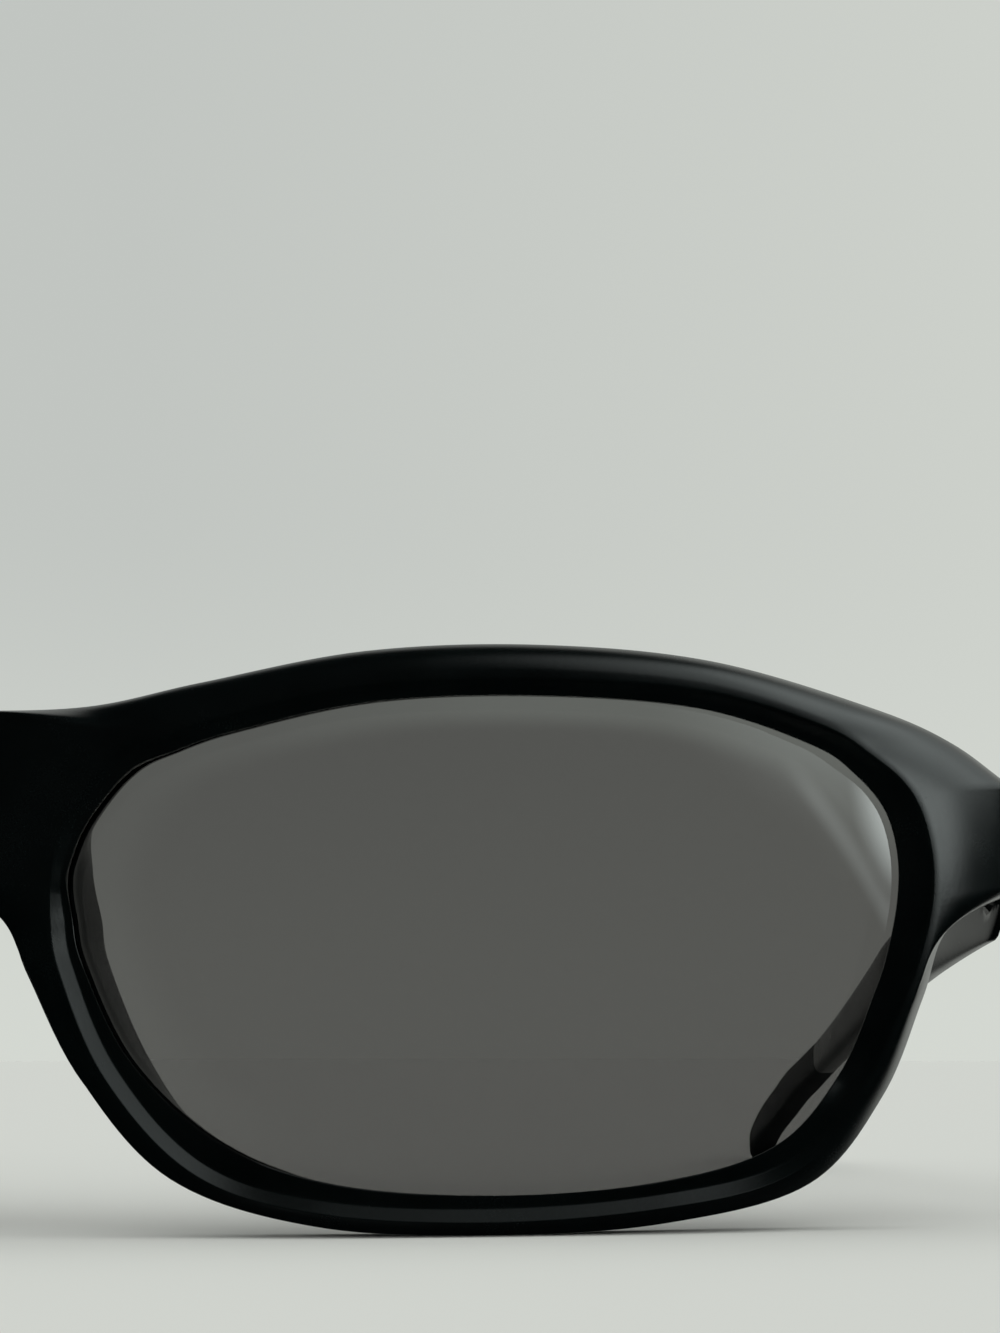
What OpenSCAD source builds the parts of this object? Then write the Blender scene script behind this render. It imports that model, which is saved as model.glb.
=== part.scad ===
// Polarised wrap sunglasses: a moulded front with two lenses, five-knuckle hinges and two temples.
// The glasses stand on the lower rims and on the tips of the temples, and look towards -Y.
// +X is the wearer's left, so the left temple stands at +X.

/* [Lenses] */
// Width of one lens opening, seen from the front
eye_w = 55.6; // [50:0.2:60]
// Height of one lens opening
eye_h = 33.8; // [30:0.2:38]
// Gap between the two lens openings, across the nose
nose_gap = 17.6; // [15:0.2:22]
// Radius of the front of the lens
lens_r = 88; // [80:1:110]
// Angle by which each lens turns outwards
wrap_angle = 15; // [10:0.5:18]
// Thickness of the hard layer in front of the film
front_ply_t = 0.8; // [0.6:0.05:1.2]
// Thickness of the polarising film
film_t = 0.2; // [0.1:0.05:0.4]
// Thickness of the layer behind the film
back_ply_t = 1; // [0.6:0.05:1.4]
// How far the lens reaches into the rim
lens_bite = 1.2; // [0.8:0.05:1.3]

/* [Front] */
// Width of the rim above the lens
rim_top = 3.8; // [3:0.1:4.5]
// Width of the rim below the lens
rim_bottom = 2.7; // [2.4:0.1:4]
// Width of the rim beside the nose
rim_nose = 4.8; // [4.2:0.1:5.4]
// Width of the rim at the temple side, below the end piece
rim_side = 3.6; // [3.2:0.1:4.6]
// How far the crest of the rim stands in front of the lens beside the nose and the temple
crest_side = 2.2; // [1.4:0.1:2.8]
// How far the crest stands in front of the lens above and below
crest_top = 1.5; // [1:0.1:2]
// Width of the cove between the lens and the crest at its widest, beside the end piece
cove_w = 2.3; // [2:0.05:2.5]
// Width of the ridge that stands outside the cove
ridge_w = 1.1; // [0.8:0.05:1.2]
// Depth of the rim behind the front of the lens
rim_back = 3.7; // [3.4:0.1:4.6]
// Height of the bridge at the middle of the nose
bridge_h = 11.8; // [9:0.2:14]
// Depth of the bridge from front to back
bridge_t = 5.4; // [4.6:0.1:6]
// Depth of the flange that carries the nose pad
flange_d = 8.2; // [7:0.1:9.5]
// Clearance round the lens in its groove
lens_gap = 0.06; // [0.04:0.01:0.15]

/* [End pieces] */
// How far the end piece stands out beside the lens opening
end_out = 9.4; // [9:0.1:12]
// Distance from the front of the lens sphere to the joint with the temple
end_y = 26.6; // [25.5:0.1:30]
// Height of the end piece at the joint
end_h = 7.8; // [6.8:0.1:8.6]
// Thickness of the end piece at the joint
end_t = 4.3; // [3.8:0.1:4.6]

/* [Hinges] */
// Radius of the hinge barrel
barrel_r = 1.3; // [1.2:0.05:1.4]
// Height of the whole barrel
barrel_h = 5.2; // [4.6:0.1:5.6]
// Thickness of a hinge leaf
leaf_t = 0.65; // [0.5:0.05:0.8]
// Length of a hinge leaf from the axis
leaf_l = 6.2; // [5.6:0.1:7]
// Radius of the hinge screw
screw_r = 0.6; // [0.5:0.05:0.7]
// Radial clearance of the screw in the knuckles
screw_gap = 0.04; // [0.02:0.01:0.08]
// Gap between two knuckles
knuckle_gap = 0.06; // [0.04:0.01:0.1]
// Radius of an anchor rivet
rivet_r = 0.5; // [0.4:0.05:0.6]

/* [Temples] */
// Length of the temple from the joint to the tip, measured straight back
temple_l = 116; // [105:1:125]
// Gap between the end piece and the temple when open
joint_gap = 0.2; // [0.15:0.05:0.3]
// Distance by which the tip leans in towards the head
tip_in = 15.8; // [12:0.2:17]
// Drop of the last quarter of the temple, where it hooks behind the ear
tip_drop = 6.5; // [5:0.1:8]
// Height of the temple just behind the joint
root_h = 10.8; // [10:0.1:11.4]
// Height of the temple where the grip begins
temple_h = 4.4; // [4.2:0.1:5.4]
// Thickness of the temple where the grip begins
temple_t = 2.6; // [2.5:0.1:3.2]
// Length of the soft grip on the tip
grip_l = 44; // [36:1:50]
// Height of the grip at its fullest
grip_h = 4.8; // [4.6:0.1:6]
// Thickness of the grip
grip_t = 3; // [2.9:0.1:3.6]
// Wall of the soft grip
grip_wall = 0.55; // [0.45:0.05:0.6]

/* [Nose pads] */
// How far the back of a nose pad spreads away from the nose
pad_splay = 1.6; // [0.8:0.1:2]
// Thickness of a nose pad
pad_t = 1.5; // [1:0.1:2.2]

/* [Hidden] */

// Box of the left lens opening in the front view
eye_x = nose_gap / 2;
eye_z = rim_bottom;
mid_x = eye_x + eye_w / 2;
mid_z = eye_z + eye_h / 2;
lens_t = front_ply_t + film_t + back_ply_t;

// Centre of the sphere that the left lens lies on
ball = [mid_x - lens_r * sin(wrap_angle), lens_r, mid_z];
joint_y = end_y;
bridge_top = eye_z + eye_h - rim_top * 0.4;
bridge_under = bridge_top - bridge_h;
joint_z = bridge_under + end_h * 0.63;
end_x = eye_x + eye_w + end_out;
end_in = end_x - end_t;

// A point of the front view at a height over the front of the lens
function over_lens(x, z, up) =
  [x, ball[1] - sqrt(pow(lens_r + up, 2) - pow(x - ball[0], 2) - pow(z - ball[2], 2)), z];
// A point of the lens opening, by its shares of the opening's width and height
function eye_at(u, v) = [eye_x + u * eye_w, eye_z + v * eye_h];
function mix(a, b, t) = a + (b - a) * t;

// One row of the front: a point of the opening, the outer edge, the guide of the front face,
// the rear edge, then the widths of cove and ridge, the height of the crest and the inset of the rear lip.
// cove and ridge are shares of the named widths, and fall makes the slope outside the ridge steeper.
edge_drop = 0.3;
lip_out = -0.1;
function rim_row(u, v, dx, dz, cove, crest, inset = lip_out, back = rim_back, fall = 0, ridge = 0.65) =
  let (a = eye_at(u, v), x = a[0] + dx, z = a[1] + dz, share = 0.85 - 0.07 * fall,
       b = over_lens(x, z, -edge_drop),
       c = over_lens(mix(a[0], x, share), mix(a[1], z, share), crest * (0.9 - 0.55 * fall)),
       r = over_lens(x - sign(dx) * 0.15, z - sign(dz) * 0.15, -back))
  [each a, each b, each c, each r, cove * cove_w, ridge * ridge_w, crest, inset];
// Beside the nose the rim runs back as a flange that spreads away from the nose
function nose_row(u, v, dx, dz, cove, inset, back) =
  let (a = eye_at(u, v), x = a[0] + dx, z = a[1] + dz,
       b = over_lens(x, z, -edge_drop),
       c = over_lens(mix(a[0], x, 0.6), mix(a[1], z, 0.6), crest_side * 0.35),
       r = over_lens(x + pad_splay, z + 0.2, -back))
  [each a, each b, each c, each r, cove * cove_w, ridge_w, crest_side, inset];
// The bridge stands a little forward in the middle, and falls to a soft valley at either side
function bridge_row(u, v, z, valley, cove, crest, inset) =
  let (a = eye_at(u, v), y = -crest_side * 0.75)
  [each a, 0, y, z, a[0] * valley, -crest_side * 0.45, z, 0, y + bridge_t, z,
   cove * cove_w, ridge_w * 0.8, crest, inset];
function end_row(u, v, z, cove) =
  let (a = eye_at(u, v), c = over_lens(end_x, z, crest_side))
  [each a, end_x, joint_y, z, end_x + 0.1, c[1], z, end_in, joint_y, z,
   cove * cove_w, ridge_w * 0.65, crest_side, lip_out];

// Width of the lower rim at either side of its lowest point, which is where the glasses stand
low = rim_bottom * 0.91;
rows = [
  bridge_row(0.058, 0.835, bridge_top, 0.68, 0.30, crest_top, 0),
  bridge_row(0.013, 0.740, bridge_top - bridge_h * 0.35, 0.52, 0.15, crest_side, 0.3),
  bridge_row(-0.005, 0.655, bridge_top - bridge_h * 0.75, 0.35, 0.15, crest_side, 0.8),
  bridge_row(-0.007, 0.605, bridge_under, 0.25, 0.15, crest_side, 0.95),
  nose_row(0.000, 0.545, -rim_nose * 1.13, 0.1, 0.20, 1, flange_d * 0.88),
  nose_row(0.014, 0.452, -rim_nose * 0.91, -0.4, 0.30, 0.95, flange_d),
  nose_row(0.074, 0.262, -rim_nose * 0.84, -rim_nose * 0.21, 0.46, 0.55, flange_d * 0.9),
  rim_row(0.174, 0.105, -rim_nose * 0.71, -low, 0.64, crest_side * 0.8, lip_out, rim_back * 1.15, 0.8, 1),
  rim_row(0.310, 0.024, -rim_nose * 0.28, -low - eye_h * 0.012, 0.40, crest_top, lip_out, rim_back, 1, 1),
  rim_row(0.500, 0.000, 0, -rim_bottom, 0.28, crest_top * 0.8, lip_out, rim_back, 1, 1),
  rim_row(0.690, 0.022, rim_side * 0.22, -low - eye_h * 0.01, 0.28, crest_top * 0.85, lip_out, rim_back, 1, 1),
  rim_row(0.835, 0.090, rim_side * 0.68, -rim_bottom * 0.98, 0.48, crest_top, lip_out, rim_back, 0.6, 1),
  rim_row(0.918, 0.235, rim_side * 0.89, -rim_bottom * 0.56, 0.74, crest_side * 0.8, lip_out, rim_back, 0.2),
  rim_row(0.966, 0.405, rim_side, -rim_bottom * 0.15, 0.85, crest_side * 0.95),
  rim_row(0.985, 0.495, rim_side * 1.28, rim_side * 0.44, 0.93, crest_side, lip_out, rim_back * 1.2),
  end_row(0.999, 0.605, joint_z - end_h / 2, 1),
  end_row(1.000, 0.700, joint_z, 0.98),
  end_row(0.985, 0.790, joint_z + end_h / 2, 0.90),
  rim_row(0.948, 0.862, rim_top * 2, rim_top * 0.78, 0.65, crest_side, lip_out, rim_back * 0.7),
  rim_row(0.893, 0.920, rim_top * 1.21, rim_top * 0.84, 0.52, crest_side),
  rim_row(0.750, 0.986, rim_top * 0.24, rim_top * 0.96, 0.43, crest_top * 1.15),
  rim_row(0.550, 1.000, 0, rim_top, 0.41, crest_top),
  rim_row(0.350, 0.980, -rim_top * 0.18, rim_top * 0.98, 0.43, crest_top),
  rim_row(0.185, 0.918, -rim_top * 0.68, rim_top * 0.93, 0.43, crest_top),
  rim_row(0.112, 0.877, -rim_top * 1.71, rim_top * 0.87, 0.41, crest_top, lip_out, rim_back * 1.2)
];
row_count = len(rows);
// Rows at which the outer edge turns a corner
corner_rows = [0, 3, 15, 17];
// Stations between two rows
steps = 4;
station_count = row_count * steps;

function is_corner(i) = len(search(i, corner_rows)) > 0;
function row(i) = rows[(i + row_count) % row_count];
// The opening runs smooth through every row, and the outer edge up to a corner.
// At the middle of the bridge the edge runs level, so that the two halves meet smoothly.
function lead(i, straight, k) =
  let (n = (i + row_count) % row_count)
  k < 2 || k > 10 || !is_corner(n) ? (row(i + 1)[k] - row(i - 1)[k]) / 2
  : rows[n][2] == 0 && k % 3 != 2 ? 0 : straight;
function spline(i, t, k) =
  let (p = row(i)[k], q = row(i + 1)[k],
       m = lead(i, q - p, k), n = lead(i + 1, q - p, k))
  p * (2 * pow(t, 3) - 3 * t * t + 1) + m * (pow(t, 3) - 2 * t * t + t)
  + q * (3 * t * t - 2 * pow(t, 3)) + n * (pow(t, 3) - t * t);
stations = [for (i = [0 : row_count - 1]) for (s = [0 : steps - 1])
  [for (k = [0 : 14]) spline(i, s / steps, k)]];

function station(j) = stations[(j + station_count) % station_count];
// Outward direction of the opening in the front view
function outward(j) =
  let (d = [station(j + 1)[0] - station(j - 1)[0], station(j + 1)[1] - station(j - 1)[1]])
  [d[1], -d[0]] / norm(d);
function grown(j, d) = [station(j)[0], station(j)[1]] + outward(j) * d;
function on_lens(p, up) = over_lens(p[0], p[1], up);
function bend(a, c, b, t) = a * pow(1 - t, 2) + c * 2 * t * (1 - t) + b * t * t;

// Points of the front's section at one station, from the groove over the crest to the back.
// A ridge wider than on the upper rim slopes down towards the lens.
groove = lens_bite + 0.3;
lens_step = 0.45;
bends = [0.15, 0.35, 0.55, 0.75, 0.9];
function section(j) =
  let (s = station(j), b = [s[2], s[3], s[4]], c = [s[5], s[6], s[7]], r = [s[8], s[9], s[10]],
       cove = s[11], crest = s[13], inset = s[14], slope = 2 * max(0, s[12] - 0.65 * ridge_w),
       rise = crest - slope - lens_step,
       brow = on_lens(grown(j, cove + s[12]), crest),
       lip = grown(j, -inset),
       heel = on_lens(grown(j, 1.4 - inset), -lens_t - 1.6),
       elbow = [mix(r[0], heel[0], 0.35), mix(r[1], heel[1], 0.65), mix(r[2], heel[2], 0.5)])
  [on_lens(grown(j, 0), lens_gap),
   on_lens(grown(j, 0), lens_step),
   on_lens(grown(j, cove * 0.5), lens_step + rise * 0.3),
   on_lens(grown(j, cove * 0.9), lens_step + rise * 0.8),
   on_lens(grown(j, cove + 0.1), crest - slope),
   brow,
   for (t = bends) bend(brow, c, b, t),
   b, r, elbow, heel,
   on_lens(lip, -lens_t - 0.9),
   on_lens(lip, -lens_t - lens_gap),
   on_lens(grown(j, groove), -lens_t - lens_gap),
   on_lens(grown(j, groove), lens_gap)];
ribs = [for (j = [0 : station_count - 1]) section(j)];
rib_size = len(ribs[0]);
// The last rail of the front face, where the outer wall begins
wall_rail = 6 + len(bends);
bridge_end = 3 * steps;

function flip(p) = [-p[0], p[1], p[2]];
function at(j, k) = (j % station_count) * rib_size + (k % rib_size);
half_faces = [for (j = [0 : station_count - 1]) for (k = [0 : rib_size - 1])
  if (!(k == wall_rail && j < bridge_end))
    each [[at(j, k), at(j + 1, k + 1), at(j, k + 1)], [at(j, k), at(j + 1, k), at(j + 1, k + 1)]]];
half_points = [for (rib = ribs) each rib];
half_total = len(half_points);
front_points = concat(half_points, [for (p = half_points) flip(p)]);
front_faces = concat(half_faces,
  [for (f = half_faces) [f[2] + half_total, f[1] + half_total, f[0] + half_total]]);

// Hinge axis, and where the anchors of a leaf lie along it
barrel_out = 0.3;
seat_gap = 0.05;
hole_gap = 0.02;
head_h = screw_r;
axis_x = end_in - barrel_r - barrel_out;
axis_y = joint_y + joint_gap / 2;
leaf_in = barrel_r + barrel_out / 2;
anchors = [leaf_l * 0.42, leaf_l * 0.81];
anchor_l = rivet_r * 3.2;
head_t = rivet_r * 0.5;
knuckle_h = (barrel_h - 4 * knuckle_gap) / 5;
sides = 72;

module moved(side) {
  translate([0, -(tip_y + front_y) / 2, 0])
    if (side > 0) children();
    else mirror([1, 0, 0]) children();
}
module at_hinge() {
  translate([axis_x, axis_y, joint_z]) children();
}

// The leaf's seat in the plastic, behind (way = 1) or in front (way = -1) of the joint
module leaf_pocket(way) {
  at_hinge() {
    translate([-2 * barrel_r, way > 0 ? 0 : -leaf_l - seat_gap, -barrel_h / 2 - seat_gap])
      cube([2 * barrel_r + leaf_in + leaf_t + hole_gap, leaf_l + seat_gap, barrel_h + 2 * seat_gap]);
    cylinder(h = barrel_h + 4 * head_h, r = barrel_r * 1.2, center = true, $fn = sides);
    for (a = anchors)
      translate([leaf_in, way * a, 0]) rotate([0, 90, 0])
        cylinder(h = leaf_t + anchor_l + 2 * seat_gap, r = rivet_r + hole_gap, $fn = sides);
  }
}

module front_frame() {
  color("#17191a") moved(1) difference() {
    polyhedron(front_points, front_faces, convexity = 8);
    leaf_pocket(-1);
    mirror([1, 0, 0]) leaf_pocket(-1);
  }
}

// One layer of a lens, between two depths under the front of the lens
module ply(side, depth, thick) {
  moved(side) intersection() {
    rotate([90, 0, 0]) mirror([0, 0, 1])
      linear_extrude(height = 60)
        polygon([for (j = [0 : station_count - 1]) grown(j, lens_bite)]);
    translate(ball) difference() {
      sphere(r = lens_r - depth, $fn = 3 * sides);
      sphere(r = lens_r - depth - thick, $fn = 3 * sides);
    }
  }
}
module front_ply(side) {
  color("#4a4d4b") ply(side, 0, front_ply_t);
}
module film(side) {
  color("#2f3231") ply(side, front_ply_t, film_t);
}
module back_ply(side) {
  color("#4a4d4b") ply(side, front_ply_t + film_t, back_ply_t);
}

// The pad lies on the flange beside the nose, and follows it
pad_from = bridge_end + 3;
pad_to = bridge_end + 14;
pad_rows = pad_to - pad_from;
function wall_at(j, f) = mix(ribs[j][wall_rail], ribs[j][wall_rail + 1], f);
function wall_out(j, f) =
  let (n = cross(wall_at(j + 1, f) - wall_at(j - 1, f), wall_at(j, f + 0.1) - wall_at(j, f - 0.1)))
  n / norm(n) * (n[0] > 0 ? -1 : 1);
pad_depths = [0.22, 0.3, 0.55, 0.8, 0.97];
function pad_swell(i, k) = sin(180 * (i + 0.5) / (pad_rows + 1)) * sin(180 * (k + 0.5) / len(pad_depths));
function pad_face(lift) = [for (i = [0 : pad_rows]) for (k = [0 : len(pad_depths) - 1])
  let (f = pad_depths[k])
  wall_at(pad_from + i, f)
  + wall_out(pad_from + i, f) * (lift == 0 ? 0.05 : 0.4 + (pad_t - 0.4) * pow(pad_swell(i, k), 0.5))];
pad_points = concat(pad_face(0), pad_face(1));
pad_wide = len(pad_depths);
pad_half = (pad_rows + 1) * pad_wide;
function pad_quad(a, b, c, d) = [[a, b, c], [a, c, d]];
pad_faces = concat(
  [for (i = [0 : pad_rows - 1]) for (k = [0 : pad_wide - 2]) let (a = i * pad_wide + k)
    each pad_quad(a, a + 1, a + pad_wide + 1, a + pad_wide)],
  [for (i = [0 : pad_rows - 1]) for (k = [0 : pad_wide - 2]) let (a = pad_half + i * pad_wide + k)
    each pad_quad(a + pad_wide, a + pad_wide + 1, a + 1, a)],
  [for (i = [0 : pad_rows - 1]) let (a = i * pad_wide, b = a + pad_half)
    each pad_quad(a, a + pad_wide, b + pad_wide, b)],
  [for (i = [0 : pad_rows - 1]) let (a = i * pad_wide + pad_wide - 1, b = a + pad_half)
    each pad_quad(b, b + pad_wide, a + pad_wide, a)],
  [for (k = [0 : pad_wide - 2]) let (a = k, b = a + pad_half)
    each pad_quad(b, b + 1, a + 1, a)],
  [for (k = [0 : pad_wide - 2]) let (a = pad_rows * pad_wide + k, b = a + pad_half)
    each pad_quad(a, a + 1, b + 1, b)]);
module nose_pad(side) {
  color("#222425") moved(side) polyhedron(pad_points, pad_faces, convexity = 4);
}

// Knuckles from the bottom up: the even ones belong to the front leaf
function knuckle_z(i) = -barrel_h / 2 + i * (knuckle_h + knuckle_gap);
module leaf(way, knuckles) {
  at_hinge() difference() {
    union() {
      for (i = knuckles) translate([0, 0, knuckle_z(i)]) {
        cylinder(h = knuckle_h, r = barrel_r, $fn = sides);
        translate([0, way > 0 ? joint_gap / 2 : -barrel_r, 0])
          cube([leaf_in + leaf_t, barrel_r - joint_gap / 2, knuckle_h]);
      }
      translate([leaf_in, way > 0 ? joint_gap / 2 : -leaf_l, -barrel_h / 2])
        cube([leaf_t, leaf_l - joint_gap / 2, barrel_h]);
    }
    cylinder(h = 2 * barrel_h, r = screw_r + screw_gap, center = true, $fn = sides);
    for (a = anchors)
      translate([0, way * a, 0]) rotate([0, 90, 0])
        cylinder(h = leaf_in + 2 * leaf_t, r = rivet_r + hole_gap, $fn = sides);
  }
}
module front_leaf(side) {
  color("#b4b6b6") moved(side) leaf(-1, [0, 2, 4]);
}
module temple_leaf(side) {
  color("#a8abab") moved(side) leaf(1, [1, 3]);
}

// A slotted screw from above, with its end just past the lowest knuckle
module hinge_screw(side) {
  head_r = barrel_r * 0.8;
  slot_w = screw_r * 0.5;
  slot_d = head_h * 0.38;
  color("#c4c6c6") moved(side) at_hinge() difference() {
    union() {
      translate([0, 0, -barrel_h / 2 - slot_w])
        cylinder(h = barrel_h + slot_w + seat_gap, r = screw_r, $fn = sides);
      translate([0, 0, barrel_h / 2 + hole_gap]) cylinder(h = head_h, r = head_r, $fn = sides);
    }
    translate([-2 * head_r, -slot_w / 2, barrel_h / 2 + hole_gap + head_h - slot_d])
      cube([4 * head_r, slot_w, 2 * slot_d]);
  }
}

module rivets(side, way) {
  color("#9ea1a1") moved(side) at_hinge()
    for (a = anchors) translate([leaf_in - 0.02, way * a, 0]) rotate([0, 90, 0]) {
      cylinder(h = leaf_t + anchor_l, r = rivet_r, $fn = sides);
      translate([0, 0, -head_t]) cylinder(h = head_t, r = rivet_r * 1.7, $fn = sides);
    }
}

// The temple runs back and down from the joint to the tip, in upright sections
temple_y = joint_y + joint_gap;
tip_y = temple_y + temple_l;
front_y = -crest_side + 0.2;
start_x = (end_x + end_in) / 2;
// Its top is level with the end piece, and its underside starts with a short chamfer
root_z = joint_z + (end_h - root_h) / 2;
hook_from = 0.75;
grip_from = 1 - grip_l / temple_l;
function ease(t) = t * t * (3 - 2 * t);
function chamfer(t) = (root_h - end_h) * (1 - ease(min(1, t * temple_l / 5)));
function path_x(t) = start_x - tip_in * t * (0.9 + 0.1 * t);
function fall_z(t) = mix(root_z, tip_drop, t)
  - tip_drop * pow(max(0, (t - hook_from) / (1 - hook_from)), 2) + chamfer(t) / 2;
// Half height and half thickness of the temple and its grip along the way
function swell(t, rate) = sin(90 * min(1, (t - grip_from) / (1 - grip_from) * rate));
function half_h(t) = t < grip_from
  ? (mix(root_h, temple_h, t / grip_from) - chamfer(t)) / 2
  : mix(temple_h, grip_h, swell(t, 1.5)) / 2;
function half_t(t) = t < grip_from
  ? mix(end_t, temple_t, sqrt(t / grip_from)) / 2
  : mix(temple_t, grip_t, swell(t, 2.2)) / 2;
ring_size = 16;
grip_power = 0.62;
grip_steps = 12;
grip_gap = 0.1;
tip_round = 3.2 / temple_l;
grip_start = grip_from + grip_gap / temple_l;
function grip_shrink(t) = t > 1 - tip_round
  ? sqrt(max(0.04, 1 - pow((t - 1 + tip_round) / tip_round, 2))) : 1;
grip_stops = concat([for (i = [0 : grip_steps]) mix(grip_start, 1 - tip_round, i / grip_steps)],
  [for (f = [0.4, 0.7, 0.9, 1]) 1 - tip_round + tip_round * f]);
// The tip is lifted until the lowest point of the grip just touches the ground
tip_z = max([for (t = grip_stops)
  (half_h(t) * grip_shrink(t) * pow(cos(180 / ring_size), grip_power) - fall_z(t)) / t]);
function path_z(t) = fall_z(t) + tip_z * t;
// A rounded upright section: power 0.5 is nearly a box, and 1 is an ellipse
function loop(t, inset, power, shrink = 1) =
  [for (i = [0 : ring_size - 1]) let (a = 360 * (i + 0.5) / ring_size, c = cos(a), s = sin(a))
    [path_x(t) + (half_t(t) - inset) * shrink * sign(c) * pow(abs(c), power),
     temple_y + t * temple_l,
     path_z(t) + (half_h(t) - inset) * shrink * sign(s) * pow(abs(s), power)]];
function tube_faces(rings) = concat(
  [for (r = [0 : rings - 2]) for (i = [0 : ring_size - 1])
    let (n = (i + 1) % ring_size, a = r * ring_size)
    each [[a + i, a + n, a + ring_size + n], [a + i, a + ring_size + n, a + ring_size + i]]],
  [for (i = [1 : ring_size - 2]) [0, i + 1, i]],
  [for (i = [1 : ring_size - 2]) let (a = (rings - 1) * ring_size) [a, a + i, a + i + 1]]);
// How round the section is along the way
function roundness(t) = mix(0.32, 0.62, ease(min(1, t / 0.25)));
temple_steps = 16;
core_steps = 7;
core_end = 1 - 3 / temple_l;
core_gap = 0.1;
temple_rings = concat(
  [for (i = [0 : temple_steps]) let (t = grip_from * pow(i / temple_steps, 1.7)) loop(t, 0, roundness(t))],
  [for (i = [0 : core_steps]) let (t = mix(grip_from, core_end, i / core_steps))
    loop(t, grip_wall + core_gap, 0.7)]);
module temple(side) {
  color("#191b1c") moved(side) difference() {
    polyhedron([for (r = temple_rings) each r], tube_faces(len(temple_rings)), convexity = 6);
    leaf_pocket(1);
  }
}

// The grip is a soft sock over the end of the temple, rounded at the tip
grip_rings = concat(
  [for (i = [core_steps : -1 : 0]) let (t = mix(grip_start, core_end + 0.2 / temple_l, i / core_steps))
    loop(t, grip_wall, 0.7)],
  [for (t = grip_stops) loop(t, 0, grip_power, grip_shrink(t))]);
module temple_grip(side) {
  color("#232526") moved(side)
    polyhedron([for (r = grip_rings) each r], tube_faces(len(grip_rings)), convexity = 6);
}

front_frame();
front_ply(1);  // lens_left_front_ply
film(1);  // lens_left_film
back_ply(1);  // lens_left_back_ply
front_ply(-1);  // lens_right_front_ply
film(-1);  // lens_right_film
back_ply(-1);  // lens_right_back_ply
nose_pad(1);  // nose_pad_left
nose_pad(-1);  // nose_pad_right
front_leaf(1);  // hinge_front_leaf_left
front_leaf(-1);  // hinge_front_leaf_right
temple_leaf(1);  // hinge_temple_leaf_left
temple_leaf(-1);  // hinge_temple_leaf_right
hinge_screw(1);  // hinge_screw_left
hinge_screw(-1);  // hinge_screw_right
rivets(1, -1);  // front_rivets_left
rivets(-1, -1);  // front_rivets_right
rivets(1, 1);  // temple_rivets_left
rivets(-1, 1);  // temple_rivets_right
temple(1);  // temple_left
temple(-1);  // temple_right
temple_grip(1);  // temple_grip_left
temple_grip(-1);  // temple_grip_right
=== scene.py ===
import math

import bmesh
import bpy
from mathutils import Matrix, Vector


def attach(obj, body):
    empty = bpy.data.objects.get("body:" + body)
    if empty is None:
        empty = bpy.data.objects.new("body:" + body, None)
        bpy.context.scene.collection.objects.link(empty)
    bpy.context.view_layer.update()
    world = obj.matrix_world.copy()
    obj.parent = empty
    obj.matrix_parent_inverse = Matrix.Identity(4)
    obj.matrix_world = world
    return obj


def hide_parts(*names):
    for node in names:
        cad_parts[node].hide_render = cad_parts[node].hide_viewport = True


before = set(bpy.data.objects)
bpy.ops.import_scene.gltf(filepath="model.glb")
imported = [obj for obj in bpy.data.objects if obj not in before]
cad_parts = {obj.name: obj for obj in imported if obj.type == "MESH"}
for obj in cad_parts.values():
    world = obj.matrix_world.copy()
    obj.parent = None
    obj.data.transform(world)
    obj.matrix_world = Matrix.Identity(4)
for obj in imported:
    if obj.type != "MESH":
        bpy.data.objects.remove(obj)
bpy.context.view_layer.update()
mm = 0.001  # sizes are written in millimetres, and those in materials in metres
weld = 1e-6  # metres within which points are one
scene = bpy.context.scene
print("stage: CAD frame loaded")

camera = {
    "place": (52.24, -241.57, 11.62),
    "turn": 5.0,  # degrees towards -X
    "tilt": 8.65,  # degrees upwards
    "focal": 69.95,
    "sensor": 36.0,
    "clip": (0.005, 100.0),  # metres
}


def addCamera(c):
    data = bpy.data.cameras.new("camera")
    data.lens = c["focal"]
    data.sensor_width = c["sensor"]
    data.clip_start, data.clip_end = c["clip"]
    obj = bpy.data.objects.new("camera", data)
    scene.collection.objects.link(obj)
    turn, tilt = math.radians(c["turn"]), math.radians(c["tilt"])
    ahead = Vector((-math.sin(turn) * math.cos(tilt), math.cos(turn) * math.cos(tilt), math.sin(tilt)))
    obj.location = Vector(c["place"]) * mm
    obj.rotation_euler = ahead.to_track_quat("-Z", "Y").to_euler()
    scene.camera = obj


addCamera(camera)
print("stage: camera placed")


def mix(a, b, t):
    return a + (b - a) * t


def ease(t):
    return t * t * (3 - 2 * t)


def clamp(t, low=0.0, high=1.0):
    return max(low, min(high, t))


# A skin over a row of closed rings of points: one ring of edges is extruded from place to place.
# marks gives each ring a number between 0 and 1, which a material can read as an attribute.
def loft(rings, closed=False, marks=None):
    bm = bmesh.new()
    order = bm.verts.layers.int.new("order")
    mark = bm.verts.layers.float.new("mark")
    ring = bmesh.ops.create_circle(bm, segments=len(rings[0]), radius=1)["verts"]
    for i, v in enumerate(ring):
        v[order] = i
        v[mark] = marks[0] if marks else 0.0
        v.co = rings[0][i] * mm
    edges = bm.edges[:]
    firstEdges = edges
    for n, points in enumerate(rings[1:], 1):
        made = bmesh.ops.extrude_edge_only(bm, edges=edges)["geom"]
        verts = {g for g in made if isinstance(g, bmesh.types.BMVert)}
        for v in verts:
            v.co = points[v[order]] * mm
            v[mark] = marks[n] if marks else 0.0
        edges = [g for g in made if isinstance(g, bmesh.types.BMEdge) and set(g.verts) <= verts]
    if closed:
        bmesh.ops.bridge_loops(bm, edges=edges + firstEdges)
    else:
        for rim in (firstEdges, edges):
            bmesh.ops.contextual_create(bm, geom=rim)
    return bm


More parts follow.
